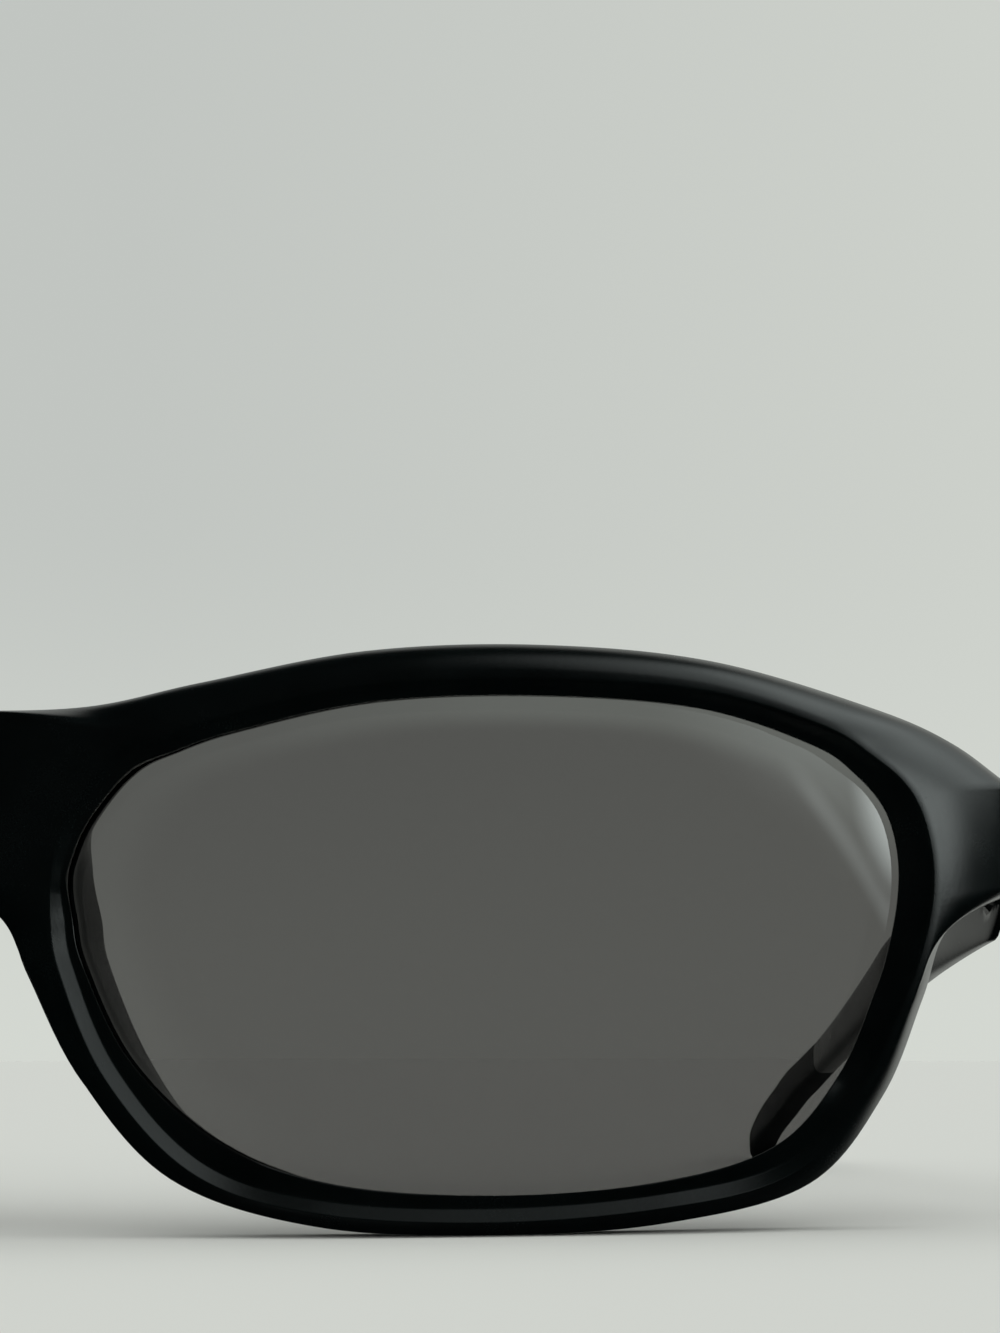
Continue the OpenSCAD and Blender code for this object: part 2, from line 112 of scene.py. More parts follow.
cornerShare = 0.46  # the most of an edge that one corner may take


# Rounds the corners of a ring: each corner is a point, a reach in mm and a number of points
def rounded(corners):
    result = []
    for k, (here, reach, count) in enumerate(corners):
        if count == 1:
            result.append(here)
            continue
        back = corners[k - 1][0] - here
        onward = corners[(k + 1) % len(corners)][0] - here
        start = here + back.normalized() * min(reach, back.length * cornerShare)
        end = here + onward.normalized() * min(reach, onward.length * cornerShare)
        for i in range(count):
            t = i / (count - 1)
            result.append(start * (1 - t) ** 2 + here * 2 * t * (1 - t) + end * t * t)
    return result


# Turns a bmesh into a finished piece: smooth, with edges sharper than an angle left crisp
def finishPiece(bm, name, body, material, nodes=(), sharp=35, side=1, recalc=True):
    if side < 0:
        bmesh.ops.scale(bm, vec=(-1, 1, 1), verts=bm.verts)
    bmesh.ops.remove_doubles(bm, verts=bm.verts, dist=weld)
    if recalc:
        bmesh.ops.recalc_face_normals(bm, faces=bm.faces)
    limit = math.radians(sharp)
    for face in bm.faces:
        face.smooth = True
    for edge in bm.edges:
        edge.smooth = not (len(edge.link_faces) == 2 and edge.calc_face_angle(0) > limit)
    mesh = bpy.data.meshes.new(name)
    bm.to_mesh(mesh)
    bm.free()
    obj = bpy.data.objects.new(name, mesh)
    scene.collection.objects.link(obj)
    mesh.materials.append(material)
    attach(obj, body)
    if nodes:
        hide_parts(*nodes)


# Cuts one bmesh out of another with Blender's exact boolean and returns the result
def cutAway(bm, cutter):
    objects = []
    for part in (bm, cutter):
        mesh = bpy.data.meshes.new("cutting")
        bmesh.ops.recalc_face_normals(part, faces=part.faces)
        part.to_mesh(mesh)
        part.free()
        obj = bpy.data.objects.new("cutting", mesh)
        scene.collection.objects.link(obj)
        objects.append(obj)
    modifier = objects[0].modifiers.new("cut", "BOOLEAN")
    modifier.operation = "DIFFERENCE"
    modifier.solver = "EXACT"
    modifier.object = objects[1]
    evaluated = objects[0].evaluated_get(bpy.context.evaluated_depsgraph_get())
    result = bmesh.new()
    result.from_mesh(evaluated.to_mesh())
    evaluated.to_mesh_clear()
    for obj in objects:
        mesh = obj.data
        bpy.data.objects.remove(obj)
        bpy.data.meshes.remove(mesh)
    return result


# A socket that sums can be written with
class Wire:
    def __init__(self, finish, socket):
        self.finish, self.socket = finish, socket

    def maths(self, operation, *values):
        return self.finish.node("Math", {"operation": operation}, dict(enumerate(values)))

    def __add__(self, other):
        return self.maths("ADD", self, other)

    def __sub__(self, other):
        return self.maths("SUBTRACT", self, other)

    def __mul__(self, other):
        return self.maths("MULTIPLY", self, other)

    def __lt__(self, other):
        return self.maths("LESS_THAN", self, other)

    def __abs__(self):
        return self.maths("ABSOLUTE", self)


# One material, or the world, being built
class Finish:
    def __init__(self, name, tree=None):
        if tree is None:
            self.material = bpy.data.materials.new(name)
            self.material.use_nodes = True
            tree = self.material.node_tree
        self.tree = tree
        tree.nodes.clear()

    # kind is a node type's name without its prefix; its settings are set first, then its sockets
    def node(self, kind, settings=None, sockets=None, output=0):
        made = self.tree.nodes.new("ShaderNode" + kind)
        for key, value in (settings or {}).items():
            setattr(made, key, value)
        for key, value in (sockets or {}).items():
            if isinstance(value, Wire):
                self.tree.links.new(value.socket, made.inputs[key])
            else:
                made.inputs[key].default_value = value
        return Wire(self, made.outputs[output] if made.outputs else None)

    def place(self):
        return self.node("TexCoord", output="Object")

    def parts(self, where):
        return [self.node("SeparateXYZ", None, {"Vector": where}, output=k) for k in range(3)]

    def noise(self, where, scale, detail=2.0, rough=0.5):
        sockets = {"Vector": where, "Scale": scale, "Detail": detail, "Roughness": rough}
        return self.node("TexNoise", None, sockets)

    # The broad unevenness of a moulded surface, and its grain
    def cloudAndGrain(self, where, p):
        return self.noise(where, p["cloudScale"], 4.0), self.noise(where, p["grainScale"], 2.0, 0.6)

    # A value's span from low to high becomes 0 to 1, or two given ends
    def span(self, value, low, high, start=0.0, end=1.0, soft=False):
        return self.node(
            "MapRange",
            {"interpolation_type": "SMOOTHSTEP" if soft else "LINEAR"},
            {"Value": value, "From Min": low, "From Max": high, "To Min": start, "To Max": end},
        )

    def blend(self, mask, first, second):
        return self.node("Mix", {"data_type": "RGBA"}, {0: mask, 6: first, 7: second}, output=2)

    # Specks of dust: a share of the pattern's cells hold one each, of their own size up to big
    def specks(self, where, p):
        big, kept = p["speckSize"], p["speckShare"]
        sockets = {"Vector": where, "Scale": p["speckScale"]}
        cell = self.node("TexVoronoi", None, sockets)
        draw = self.node("TexVoronoi", None, sockets, output="Color")
        return cell < (draw - (1 - kept)) * (big / kept)

    def bump(self, height, depth):
        return self.node("Bump", None, {"Height": height, "Distance": depth})

    def close(self, shader, kind="Material"):
        self.node("Output" + kind, None, {"Surface": shader})
        return self.material if kind == "Material" else None


noiseSpan = (0.3, 0.7)  # where nearly all values of a noise lie

plastic = {
    "dark": (0.0004, 0.0010, 0.0010, 1.0),
    "light": (0.0012, 0.0025, 0.0025, 1.0),
    "dust": (0.16, 0.17, 0.16, 1.0),
    "roughLow": 0.21,
    "roughHigh": 0.28,
    "speckRough": 0.3,  # what a speck adds to the roughness
    "index": 1.45,
    "specular": 0.2,
    "cloudScale": 130.0,
    "grainScale": 7000.0,  # one grain is about 0.14 mm
    "grainColour": 0.5,  # how much the grain stirs the colour and the roughness
    "grainRough": 0.35,
    "grainDepth": 0.000005,
    "coarseScale": 2450.0,
    "heights": (0.6, 0.8, 3.0),  # of the grain, the coarser noise and the specks, in grain depths
    "speckScale": 420.0,  # one cell is about 2.4 mm
    "speckSize": 0.045,
    "speckShare": 0.35,
}


def softTouchPlastic(p):
    f = Finish("softTouchBlack")
    where = f.place()
    cloud, grain = f.cloudAndGrain(where, p)
    coarse = f.noise(where, p["coarseScale"])
    speck = f.specks(where, p)
    colour = f.blend(f.span(cloud + (grain - 0.5) * p["grainColour"], *noiseSpan), p["dark"], p["light"])
    rough = f.span(cloud + (grain - 0.5) * p["grainRough"], *noiseSpan, p["roughLow"], p["roughHigh"])
    ofGrain, ofCoarse, ofSpeck = p["heights"]
    shader = f.node("BsdfPrincipled", None, {
        "Base Color": f.blend(speck, colour, p["dust"]),
        "Roughness": rough + speck * p["speckRough"],
        "IOR": p["index"],
        "Specular IOR Level": p["specular"],
        "Normal": f.bump(grain * ofGrain + coarse * ofCoarse + speck * ofSpeck, p["grainDepth"]),
    })
    return f.close(shader)


rubber = {
    "dark": (0.004, 0.005, 0.005, 1.0),
    "light": (0.010, 0.0115, 0.0115, 1.0),
    "roughLow": 0.56,
    "roughHigh": 0.72,
    "index": 1.45,
    "cloudScale": 160.0,
    "grainScale": 4200.0,
    "grainDepth": 0.00001,
}


def softRubber(p):
    f = Finish("softRubber")
    cloud, grain = f.cloudAndGrain(f.place(), p)
    shader = f.node("BsdfPrincipled", None, {
        "Base Color": f.blend(f.span(cloud, *noiseSpan), p["dark"], p["light"]),
        "Roughness": f.span(cloud, *noiseSpan, p["roughLow"], p["roughHigh"]),
        "IOR": p["index"],
        "Normal": f.bump(grain, p["grainDepth"]),
    })
    return f.close(shader)


glass = {
    "tint": (0.150, 0.1465, 0.145, 1.0),
    # the next colour is a painted reflection: the lens is lighter in a band along its outline
    "paintedReflectionTint": (0.215, 0.218, 0.213, 1.0),
    "dust": (0.62, 0.62, 0.60, 1.0),
    "index": 1.52,
    "edge": (0.76, 0.88),  # where the painted reflection, a lighter band, begins and is full, from the middle 0 to the edge 1
    "highZ": (0.024, 0.033),  # the painted reflection is stronger high up, in metres
    "farX": (0.020, 0.036),  # and there stronger towards the side
    "farLow": 0.35,
    "innerX": (0.024, 0.012),  # and faint beside the nose
    "innerShare": 0.2,
    "speckScale": 260.0,
    "speckSize": 0.03,
    "speckShare": 0.3,
    "speckRough": 0.4,
}


def smokeGlass(p):
    f = Finish("smokeLens")
    where = f.place()
    x, y, z = f.parts(where)
    # painted reflection: the lens's colour is lightened near its outline, most high up and towards the side
    edge = f.span(f.node("Attribute", {"attribute_name": "mark"}, output="Fac"), *p["edge"], soft=True)
    inner = f.span(abs(x), *p["innerX"])
    top = f.span(z, *p["highZ"]) * f.span(abs(x), *p["farX"], p["farLow"], 1.0)
    band = edge * top.maths("MAXIMUM", top, inner * p["innerShare"])
    speck = f.specks(where, p)
    shader = f.node("BsdfPrincipled", None, {
        "Base Color": f.blend(speck, f.blend(band, p["tint"], p["paintedReflectionTint"]), p["dust"]),
        "Roughness": speck * p["speckRough"],
        "IOR": p["index"],
        "Transmission Weight": 1.0,
    })
    return f.close(shader)


steel = {
    "colour": (0.52, 0.525, 0.53, 1.0),
    "worn": (0.62, 0.62, 0.62, 1.0),
    "roughLow": 0.24,
    "roughHigh": 0.40,
    "cloudScale": 500.0,
    "brushing": (900.0, 900.0, 9000.0),  # how fine it is along each axis
    "lineSpan": (0.35, 0.65),
    "lineDepth": 0.000004,
}
screwSteel = dict(
    steel,
    colour=(0.60, 0.60, 0.60, 1.0),
    worn=(0.72, 0.72, 0.71, 1.0),
    brushing=(5000.0, 5000.0, 900.0),
)


def brushedSteel(name, p):
    f = Finish(name)
    lines = f.noise(f.node("Mapping", None, {"Vector": f.place(), "Scale": p["brushing"]}), 1.0, 5.0, 0.65)
    cloud = f.noise(f.place(), p["cloudScale"], 3.0)
    shader = f.node("BsdfPrincipled", None, {
        "Base Color": f.blend(f.span(lines, *p["lineSpan"]), p["colour"], p["worn"]),
        "Roughness": f.span((cloud + lines) * 0.5, *p["lineSpan"], p["roughLow"], p["roughHigh"]),
        "Metallic": 1.0,
        "Normal": f.bump(lines, p["lineDepth"]),
    })
    return f.close(shader)


frameMaterial = softTouchPlastic(plastic)
rubberMaterial = softRubber(rubber)
lensMaterial = smokeGlass(glass)
steelMaterial = brushedSteel("brushedSteel", steel)
screwMaterial = brushedSteel("turnedSteel", screwSteel)
print("stage: materials made")

front = {
    "eyeWidth": 55.6,
    "eyeHeight": 33.8,
    "noseGap": 17.6,
    "lensRadius": 88.0,
    "wrapAngle": 15.0,
    "lensThick": 2.0,
    "lensBite": 1.2,
    "lensStep": 0.45,
    "rimTop": 3.8,
    "rimBottom": 2.7,
    "rimNose": 4.8,
    "rimSide": 3.6,
    "crestSide": 2.2,
    "crestNose": 1.2,
    "crestTop": 1.5,
    "noseClear": 0.35,  # how far the opening stands back beside the nose
    "coveWidth": 2.3,
    "ridgeWidth": 1.1,
    "slopeFrom": 0.65,  # where a row has more than this share of the ridge, it slopes to the lens
    "slopeRate": 1.07,  # the tangent of the slope's angle
    "slopeSpare": 0.2,  # the part of the ridge that stays level
    "floorLift": 0.1,  # the least height of the flat floor below a slope
    "heelOut": 1.4,  # the inner wall behind the lens ends further out than the opening
    "heelBack": 1.6,
    "wallIn": 0.7,  # and beside the nose further in and further back
    "wallBack": 4.9,
    "rearLip": 0.9,  # thickness of the lip behind the lens
    "guideOut": 0.85,  # the face's guide lies at this share of the way to the edge, less where it falls
    "guideOutFall": 0.07,
    "guideUp": 0.9,  # and at this share of the crest's height
    "guideUpFall": 0.55,
    "grooveSpare": 0.3,  # depth of the groove beyond the lens
    "crispMiddle": 1.5,  # the edge gets its full rounding this far from the middle and from the joint
    "crispEnd": 4.0,
    "rimBack": 3.7,
    "bridgeHeight": 11.8,
    "bridgeThick": 5.4,
    "flangeDepth": 8.2,
    "lensGap": 0.06,
    "edgeDrop": 0.3,
    "lipOut": -0.1,
    "endOut": 9.4,
    "endY": 26.6,
    "endHeight": 7.8,
    "endThick": 4.3,
    "padSplay": 1.6,
    "steps": 12,  # stations between two rows
    "bends": 14,  # points across the face outside the ridge
}
hinge = {
    "barrelRadius": 1.3,
    "barrelOut": 0.3,
    "barrelHeight": 5.2,
    "holeShare": 1.2,  # radius of the clearance, in radii of the barrel
    "leafThick": 0.65,
    "leafLength": 6.2,
    "leafSpare": 0.02,
    "leafBevel": 0.06,
    "seatGap": 0.05,
    "headHeight": 0.6,
    "headBevel": 0.05,  # of the screws and the rivets
    "jointGap": 0.2,
}
temple = {
    "length": 116.0,
    "tipIn": 15.8,
    "bow": 0.1,  # how much the arm bows outwards on its way, as a share of tipIn
    "tipDrop": 6.5,
    "rootHeight": 10.8,
    "height": 3.4,
    "thick": 2.6,
    "slimming": 1.8,  # how fast the height lessens behind the joint
    "sag": 2.8,  # how far the arm hangs below a straight line, and where along its length
    "sagAt": 0.8,
    "sagPower": 1.6,
    "turnAt": 0.75,  # where its end begins to turn down
    "chamfer": 5.0,  # length of the ramps above and below the joint
    "scoop": 36.0,  # length of the hollow below the seat of the hinge
    "scoopWall": 0.08,  # what is left there at the joint, as a share of the thickness
    "scoopTop": 0.1,  # it begins this far over the underside of the front's end, and is full
    "scoopBlend": 0.7,  # this much lower
    "rootRound": 0.25,
    "rootPower": 0.32,  # how square the section is at the joint, and where it has its final roundness
    "softAt": 0.25,
    "tipRound": 3.2,
    "gripLength": 44.0,
    "gripHeight": 3.6,
    "gripThick": 3.0,
    "gripWall": 0.55,
    "gripSpare": 0.1,  # between the grip and the arm inside it
    "gripLip": 0.15,
    "gripSwell": (1.5, 2.2),  # how fast the grip reaches its full height and thickness
    "gripPower": 0.62,
    "corePower": 0.7,
    "coreShort": 3.0,  # how much the arm inside the grip is shorter, and the hollow of the grip beyond it
    "coreSpare": 0.2,
    "around": 40,  # points in one section
}
sides = ((1, "Left"), (-1, "Right"))
eyeX = front["noseGap"] / 2
eyeZ = front["rimBottom"]
midX = eyeX + front["eyeWidth"] / 2
midZ = eyeZ + front["eyeHeight"] / 2
ballX = midX - front["lensRadius"] * math.sin(math.radians(front["wrapAngle"]))
ball = Vector((ballX, front["lensRadius"], midZ))  # the middle of the ball on which the left lens lies
jointY = front["endY"]
bridgeTop = eyeZ + front["eyeHeight"] - front["rimTop"] * 0.4
bridgeUnder = bridgeTop - front["bridgeHeight"]
jointZ = bridgeUnder + front["endHeight"] * 0.63
endX = eyeX + front["eyeWidth"] + front["endOut"]
endIn = endX - front["endThick"]
axisX = endIn - hinge["barrelRadius"] - hinge["barrelOut"]
axisY = jointY + hinge["jointGap"] / 2
templeY = jointY + hinge["jointGap"]
tipY = templeY + temple["length"]
shift = Vector((0, -(tipY - front["crestSide"] + 0.2) / 2, 0))  # centres the glasses, front to back


# A point of the front view at a height over the front of the lens
def overLens(x, z, up):
    reach = (front["lensRadius"] + up) ** 2 - (x - ball.x) ** 2 - (z - ball.z) ** 2
    return Vector((x, ball.y - math.sqrt(reach), z))


def eyeAt(u, v):
    return eyeX + u * front["eyeWidth"], eyeZ + v * front["eyeHeight"]


# One row of the front: a point of the opening, the outer edge, the guide of the front face,
# the rear edge, then cove, ridge, crest and the inset of the rear lip. u and v are shares of the
# opening's width and height, dx and dz lead from there to the outer edge, and fall lets the
# front face drop away from its crest.
def rimRow(u, v, dx, dz, cove, crest, inset=front["lipOut"], back=front["rimBack"], fall=0.0, ridge=0.65):
    ax, az = eyeAt(u, v)
    x, z = ax + dx, az + dz
    share = front["guideOut"] - front["guideOutFall"] * fall
    height = crest * (front["guideUp"] - front["guideUpFall"] * fall)
    edge = overLens(x, z, -front["edgeDrop"])
    guide = overLens(mix(ax, x, share), mix(az, z, share), height)
    signX = (dx > 0) - (dx < 0)
    signZ = (dz > 0) - (dz < 0)
    rear = overLens(x - signX * 0.15, z - signZ * 0.15, -back)
    sizes = (cove * front["coveWidth"], ridge * front["ridgeWidth"], crest, inset)
    return [ax, az, *edge, *guide, *rear, *sizes]


def noseRow(u, v, dx, dz, cove, inset, back):
    ax, az = eyeAt(u, v)
    x, z = ax + dx, az + dz
    edge = overLens(x, z, -front["edgeDrop"])
    guide = overLens(mix(ax, x, 0.6), mix(az, z, 0.6), front["crestSide"] * 0.35)
    rear = overLens(x + front["padSplay"], z + 0.2, -back)
    sizes = (cove * front["coveWidth"], front["ridgeWidth"], front["crestNose"], inset)
    return [ax - front["noseClear"], az, *edge, *guide, *rear, *sizes]


# valley is how far out the front face of the bridge reaches before it rises to the rim
def bridgeRow(u, v, z, valley, cove, crest, inset):
    ax, az = eyeAt(u, v)
    y = -front["crestSide"] * 0.75
    guide = (ax * valley, -front["crestSide"] * 0.45, z)
    rear = (0, y + front["bridgeThick"], z)
    sizes = (cove * front["coveWidth"], front["ridgeWidth"] * 0.8, crest, inset)
    return [ax - front["noseClear"] * clamp(inset), az, 0, y, z, *guide, *rear, *sizes]


def endRow(u, v, z, cove):
    ax, az = eyeAt(u, v)
    guide = overLens(endX, z, front["crestSide"])
    sizes = (cove * front["coveWidth"], front["ridgeWidth"] * 0.65, front["crestSide"], front["lipOut"])
    return [ax, az, endX, jointY, z, endX + 0.1, guide.y, z, endIn, jointY, z, *sizes]


def frontRows():
    nose, side, top, bottom = (front[k] for k in ("rimNose", "rimSide", "rimTop", "rimBottom"))
    high, flat, slim, lip = (front[k] for k in ("crestSide", "crestTop", "crestNose", "lipOut"))
    flange, span, back, eye = (front[k] for k in ("flangeDepth", "bridgeHeight", "rimBack", "eyeHeight"))
    low, half = bottom * 0.91, front["endHeight"] / 2
    return [
        bridgeRow(0.058, 0.835, bridgeTop, 0.68, 0.30, flat, 0),
        bridgeRow(0.013, 0.740, bridgeTop - span * 0.35, 0.52, 0.12, slim, 0.3),
        bridgeRow(-0.005, 0.655, bridgeTop - span * 0.75, 0.35, 0.06, slim, 0.8),
        bridgeRow(-0.007, 0.605, bridgeUnder + 0.5, 0.25, 0.06, slim, 0.95),
        noseRow(0.000, 0.545, -nose * 1.16, 0, 0.11, 1, flange * 0.88),
        noseRow(0.014, 0.452, -nose * 0.91, -0.4, 0.17, 0.95, flange),
        noseRow(0.074, 0.262, -nose * 0.84, -nose * 0.21, 0.34, 0.8, flange * 0.9),
        rimRow(0.174, 0.105, -nose * 0.71, -low, 0.64, slim, 0.2, back * 1.15, 0.8, 1),
        rimRow(0.310, 0.024, -nose * 0.28, -low - eye * 0.012, 0.40, flat, lip, back, 1, 1),
        rimRow(0.500, 0.000, 0, -bottom, 0.28, flat * 0.8, lip, back, 1, 1),
        rimRow(0.690, 0.022, side * 0.22, -low - eye * 0.01, 0.28, flat * 0.85, lip, back, 1, 1),
        rimRow(0.835, 0.090, side * 0.68, -bottom * 0.98, 0.48, flat, lip, back, 0.6, 1),
        rimRow(0.918, 0.235, side * 0.89, -bottom * 0.56, 0.74, high * 0.8, lip, back, 0.2),
        rimRow(0.966, 0.405, side, -bottom * 0.15, 0.85, high * 0.95),
        rimRow(0.985, 0.495, side * 1.28, side * 0.44, 0.93, high, lip, back * 1.2),
        endRow(0.999, 0.605, jointZ - half, 1),
        endRow(1.000, 0.700, jointZ, 0.98),
        endRow(0.985, 0.790, jointZ + half, 0.90),
        rimRow(0.948, 0.862, top * 2, top * 0.78, 0.65, high, lip, back * 0.7),
        rimRow(0.893, 0.920, top * 1.21, top * 0.84, 0.52, high),
        rimRow(0.750, 0.986, top * 0.24, top * 0.96, 0.43, flat * 1.15),
        rimRow(0.550, 1.000, 0, top, 0.41, flat),
        rimRow(0.350, 0.980, -top * 0.18, top * 0.98, 0.43, flat),
        rimRow(0.185, 0.918, -top * 0.68, top * 0.93, 0.43, flat),
        rimRow(0.112, 0.877, -top * 1.71, top * 0.87, 0.41, flat, lip, back * 1.2),
    ]


rows = frontRows()
cornerRows = (0, 3, 15, 17)  # where the outer edge turns a corner
outerFrom, outerTo = 2, 10  # the values of a row that hold the points of its outer side


def rowAt(i):
    return rows[i % len(rows)]


# How a value of a row leads on to the next row: smoothly, but straight out of a corner
def lead(i, straight, k):
    n = i % len(rows)
    if not outerFrom <= k <= outerTo or n not in cornerRows:
        return (rowAt(i + 1)[k] - rowAt(i - 1)[k]) / 2
    # On the middle plane, where the edge's x is 0, only the x values lead straight on
    return 0.0 if rows[n][2] == 0 and k % 3 != 2 else straight


# The values of a row at a share of the way from one row to the next
def stationAt(i, t):
    values = []
    for k in range(len(rows[0])):
        p, q = rowAt(i)[k], rowAt(i + 1)[k]
        m, n = lead(i, q - p, k), lead(i + 1, q - p, k)
        arc = p * (2 * t**3 - 3 * t * t + 1) + m * (t**3 - 2 * t * t + t)
        values.append(arc + q * (3 * t * t - 2 * t**3) + n * (t**3 - t * t))
    return values


steps = front["steps"]
stations = [stationAt(i, s / steps) for i in range(len(rows)) for s in range(steps)]


def station(j):
    return stations[j % len(stations)]


# The opening at a station, grown outwards by a distance
def grown(j, distance):
    dx = station(j + 1)[0] - station(j - 1)[0]
    dz = station(j + 1)[1] - station(j - 1)[1]
    long = math.hypot(dx, dz)
    return station(j)[0] + dz / long * distance, station(j)[1] - dx / long * distance


def onLens(j, distance, up):
    return overLens(*grown(j, distance), up)


# The front's section at one station, from the groove over the crest to the back and the rear lip
def frontSection(j):
    s = station(j)
    edge, guide, rear = Vector(s[2:5]), Vector(s[5:8]), Vector(s[8:11])
    cove, ridge, crest, inset = s[11:15]
    thick, gap, step = front["lensThick"], front["lensGap"], front["lensStep"]
    # A wide ridge slopes down towards the lens and ends on a flat floor
    wide = clamp((ridge / front["ridgeWidth"] - front["slopeFrom"]) * 6)
    slope = min(wide * front["slopeRate"] * (ridge - front["slopeSpare"]), crest - gap - front["floorLift"])
    rise = crest - slope - step
    brow = onLens(j, cove + ridge, crest)
    lip = min(inset, 0)
    outward = onLens(j, front["heelOut"] - lip, -thick - front["heelBack"])
    inward = onLens(j, -front["wallIn"], 0) + Vector((0, thick + front["wallBack"], 0))
    heel = outward.lerp(inward, clamp(inset))
    elbow = Vector((mix(rear.x, heel.x, 0.35), mix(rear.y, heel.y, 0.65), mix(rear.z, heel.z, 0.5)))

    def bend(t):
        return brow * (1 - t) ** 2 + guide * 2 * t * (1 - t) + edge * t * t

    # The edge stays crisp where the two halves meet, and nearly so at the joint with the temple
    soft = clamp(abs(edge.x) / front["crispMiddle"]) * clamp((jointY - edge.y) / front["crispEnd"], 0.35, 1)
    deep = front["lensBite"] + front["grooveSpare"]
    return rounded([
        (onLens(j, 0, gap), 0.08, 2),
        (onLens(j, 0, step + rise * wide), 0.16, 4),
        (onLens(j, cove * 0.5, step + rise * mix(0.3, 1, wide)), 9, 4),
        (onLens(j, cove * 0.9, step + rise * mix(0.8, 1, wide)), 9, 4),
        (onLens(j, cove + 0.1 + 0.1 * wide, crest - slope), 0.16, 4),
        (brow, 0.14, 4),
        *[(bend(mix(0.06, 0.94, i / (front["bends"] - 1))), 0, 1) for i in range(front["bends"])],
        (edge, 0.3 * soft, 4),
        (rear, 0.6 * soft, 4),
        (elbow, 9, 4),
        (heel, 0.6, 4),
        (onLens(j, -lip, -thick - front["rearLip"]), 0.35, 3),
        (onLens(j, -lip, -thick - gap), 0.12, 2),
        (onLens(j, deep, -thick - gap), 0, 1),
        (onLens(j, deep, gap), 0, 1),
    ])


# The seat of a hinge leaf, behind (way 1) or before (way -1) the joint
def leafSeat(way):
    h = hinge
    bm = bmesh.new()
    low = Vector((
        axisX - 2 * h["barrelRadius"],
        axisY if way > 0 else axisY - h["leafLength"] - h["seatGap"],
        jointZ - h["barrelHeight"] / 2 - h["seatGap"],
    ))
    wide = 3 * h["barrelRadius"] + h["barrelOut"] / 2 + h["leafThick"] + h["leafSpare"]
    size = Vector((wide, h["leafLength"] + h["seatGap"], h["barrelHeight"] + 2 * h["seatGap"]))
    made = bmesh.ops.create_cube(bm, size=1)["verts"]
    bmesh.ops.scale(bm, vec=size * mm, verts=made)
    bmesh.ops.translate(bm, vec=(low + size / 2 + shift) * mm, verts=made)
    return bm


# The clearance round the hinge barrel and the screw's head
def barrelHole():
    bm = bmesh.new()
    radius = hinge["barrelRadius"] * hinge["holeShare"] * mm
    depth = (hinge["barrelHeight"] + 4 * hinge["headHeight"]) * mm
    bmesh.ops.create_cone(bm, cap_ends=True, segments=64, radius1=radius, radius2=radius, depth=depth)
    bmesh.ops.translate(bm, vec=(Vector((axisX, axisY, jointZ)) + shift) * mm, verts=bm.verts)
    return bm


def buildFront():
    sections = [[p + shift for p in frontSection(j)] for j in range(len(stations))]
    bm = loft(sections, closed=True)
    bmesh.ops.remove_doubles(bm, verts=bm.verts, dist=weld / 5)
    middle = [f for f in bm.faces if all(abs(v.co.x) < weld / 10 for v in f.verts)]
    bmesh.ops.delete(bm, geom=middle, context="FACES")
    bmesh.ops.mirror(bm, geom=bm.verts[:] + bm.edges[:] + bm.faces[:], axis="X", merge_dist=weld / 10)
    bmesh.ops.remove_doubles(bm, verts=bm.verts, dist=weld / 5)
    for side in (1, -1):
        for cutter in (leafSeat(-1), barrelHole()):
            if side < 0:
                bmesh.ops.scale(cutter, vec=(-1, 1, 1), verts=cutter.verts)
            bm = cutAway(bm, cutter)
    finishPiece(bm, "frontShell", "front", frameMaterial, ("front_frame",), sharp=32)


buildFront()
print("stage: front made")

# The shares are where the lens's face ends and its edge begins, from the middle 0 to the outline 1
lens = {"rings": 22, "edgeShare": 0.985, "faceShare": 0.97, "everyStation": 2}


# One smooth solid from the front of the lens to its back, with its edge in the groove
def buildLens(side, word):
    thick, bite = front["lensThick"], front["lensBite"]
    outline = [grown(j, bite) for j in range(0, len(stations), lens["everyStation"])]
    centreX = sum(p[0] for p in outline) / len(outline)
    centreZ = sum(p[1] for p in outline) / len(outline)
    count = lens["rings"]
    shares = [1, lens["edgeShare"]] + [lens["faceShare"] * (1 - i / count) for i in range(count)]

    def face(share, up):
        return [overLens(mix(centreX, x, share), mix(centreZ, z, share), up) + shift for x, z in outline]

    rings = [face(s, 0.0) for s in reversed(shares)] + [face(s, -thick) for s in shares]
    bm = loft(rings, marks=[*reversed(shares), *shares])
    nodes = [f"lens_{word.lower()}_{layer}" for layer in ("front_ply", "film", "back_ply")]
    finishPiece(bm, "lens" + word, "front", lensMaterial, nodes, side=side)


for side, word in sides:
    buildLens(side, word)
print("stage: lenses made")

gripFrom = 1 - temple["gripLength"] / temple["length"]
startX = (endX + endIn) / 2
rootZ = jointZ + (front["endHeight"] - temple["rootHeight"]) / 2
endLow = jointZ - front["endHeight"] / 2
tipRound = temple["tipRound"] / temple["length"]
gripStart = gripFrom + temple["gripSpare"] / temple["length"]
coreEnd = 1 - temple["coreShort"] / temple["length"]
gripPower = temple["gripPower"]


# In what follows, t is the share of the temple's length from the joint to the tip
def chamfer(t):
    ramp = 1 - ease(min(1, t * temple["length"] / temple["chamfer"]))
    return (temple["rootHeight"] - front["endHeight"]) * ramp


def pathX(t):
    bow = temple["bow"]
    return startX - temple["tipIn"] * t * (1 - bow + bow * t)


def fallZ(t):
    drop, sagAt, turnAt = temple["tipDrop"], temple["sagAt"], temple["turnAt"]
    turned = max(0, (t - turnAt) / (1 - turnAt)) ** 2
    bend = t / sagAt if t < sagAt else (1 - t) / (1 - sagAt)
    sag = temple["sag"] * math.sin(math.pi / 2 * bend) ** temple["sagPower"]
    return mix(rootZ, drop, t) - drop * turned + chamfer(t) / 2 - sag


# The grip's growth from its start, 0 to 1
def swell(t, rate):
    return math.sin(math.radians(90 * min(1, (t - gripFrom) / (1 - gripFrom) * rate)))


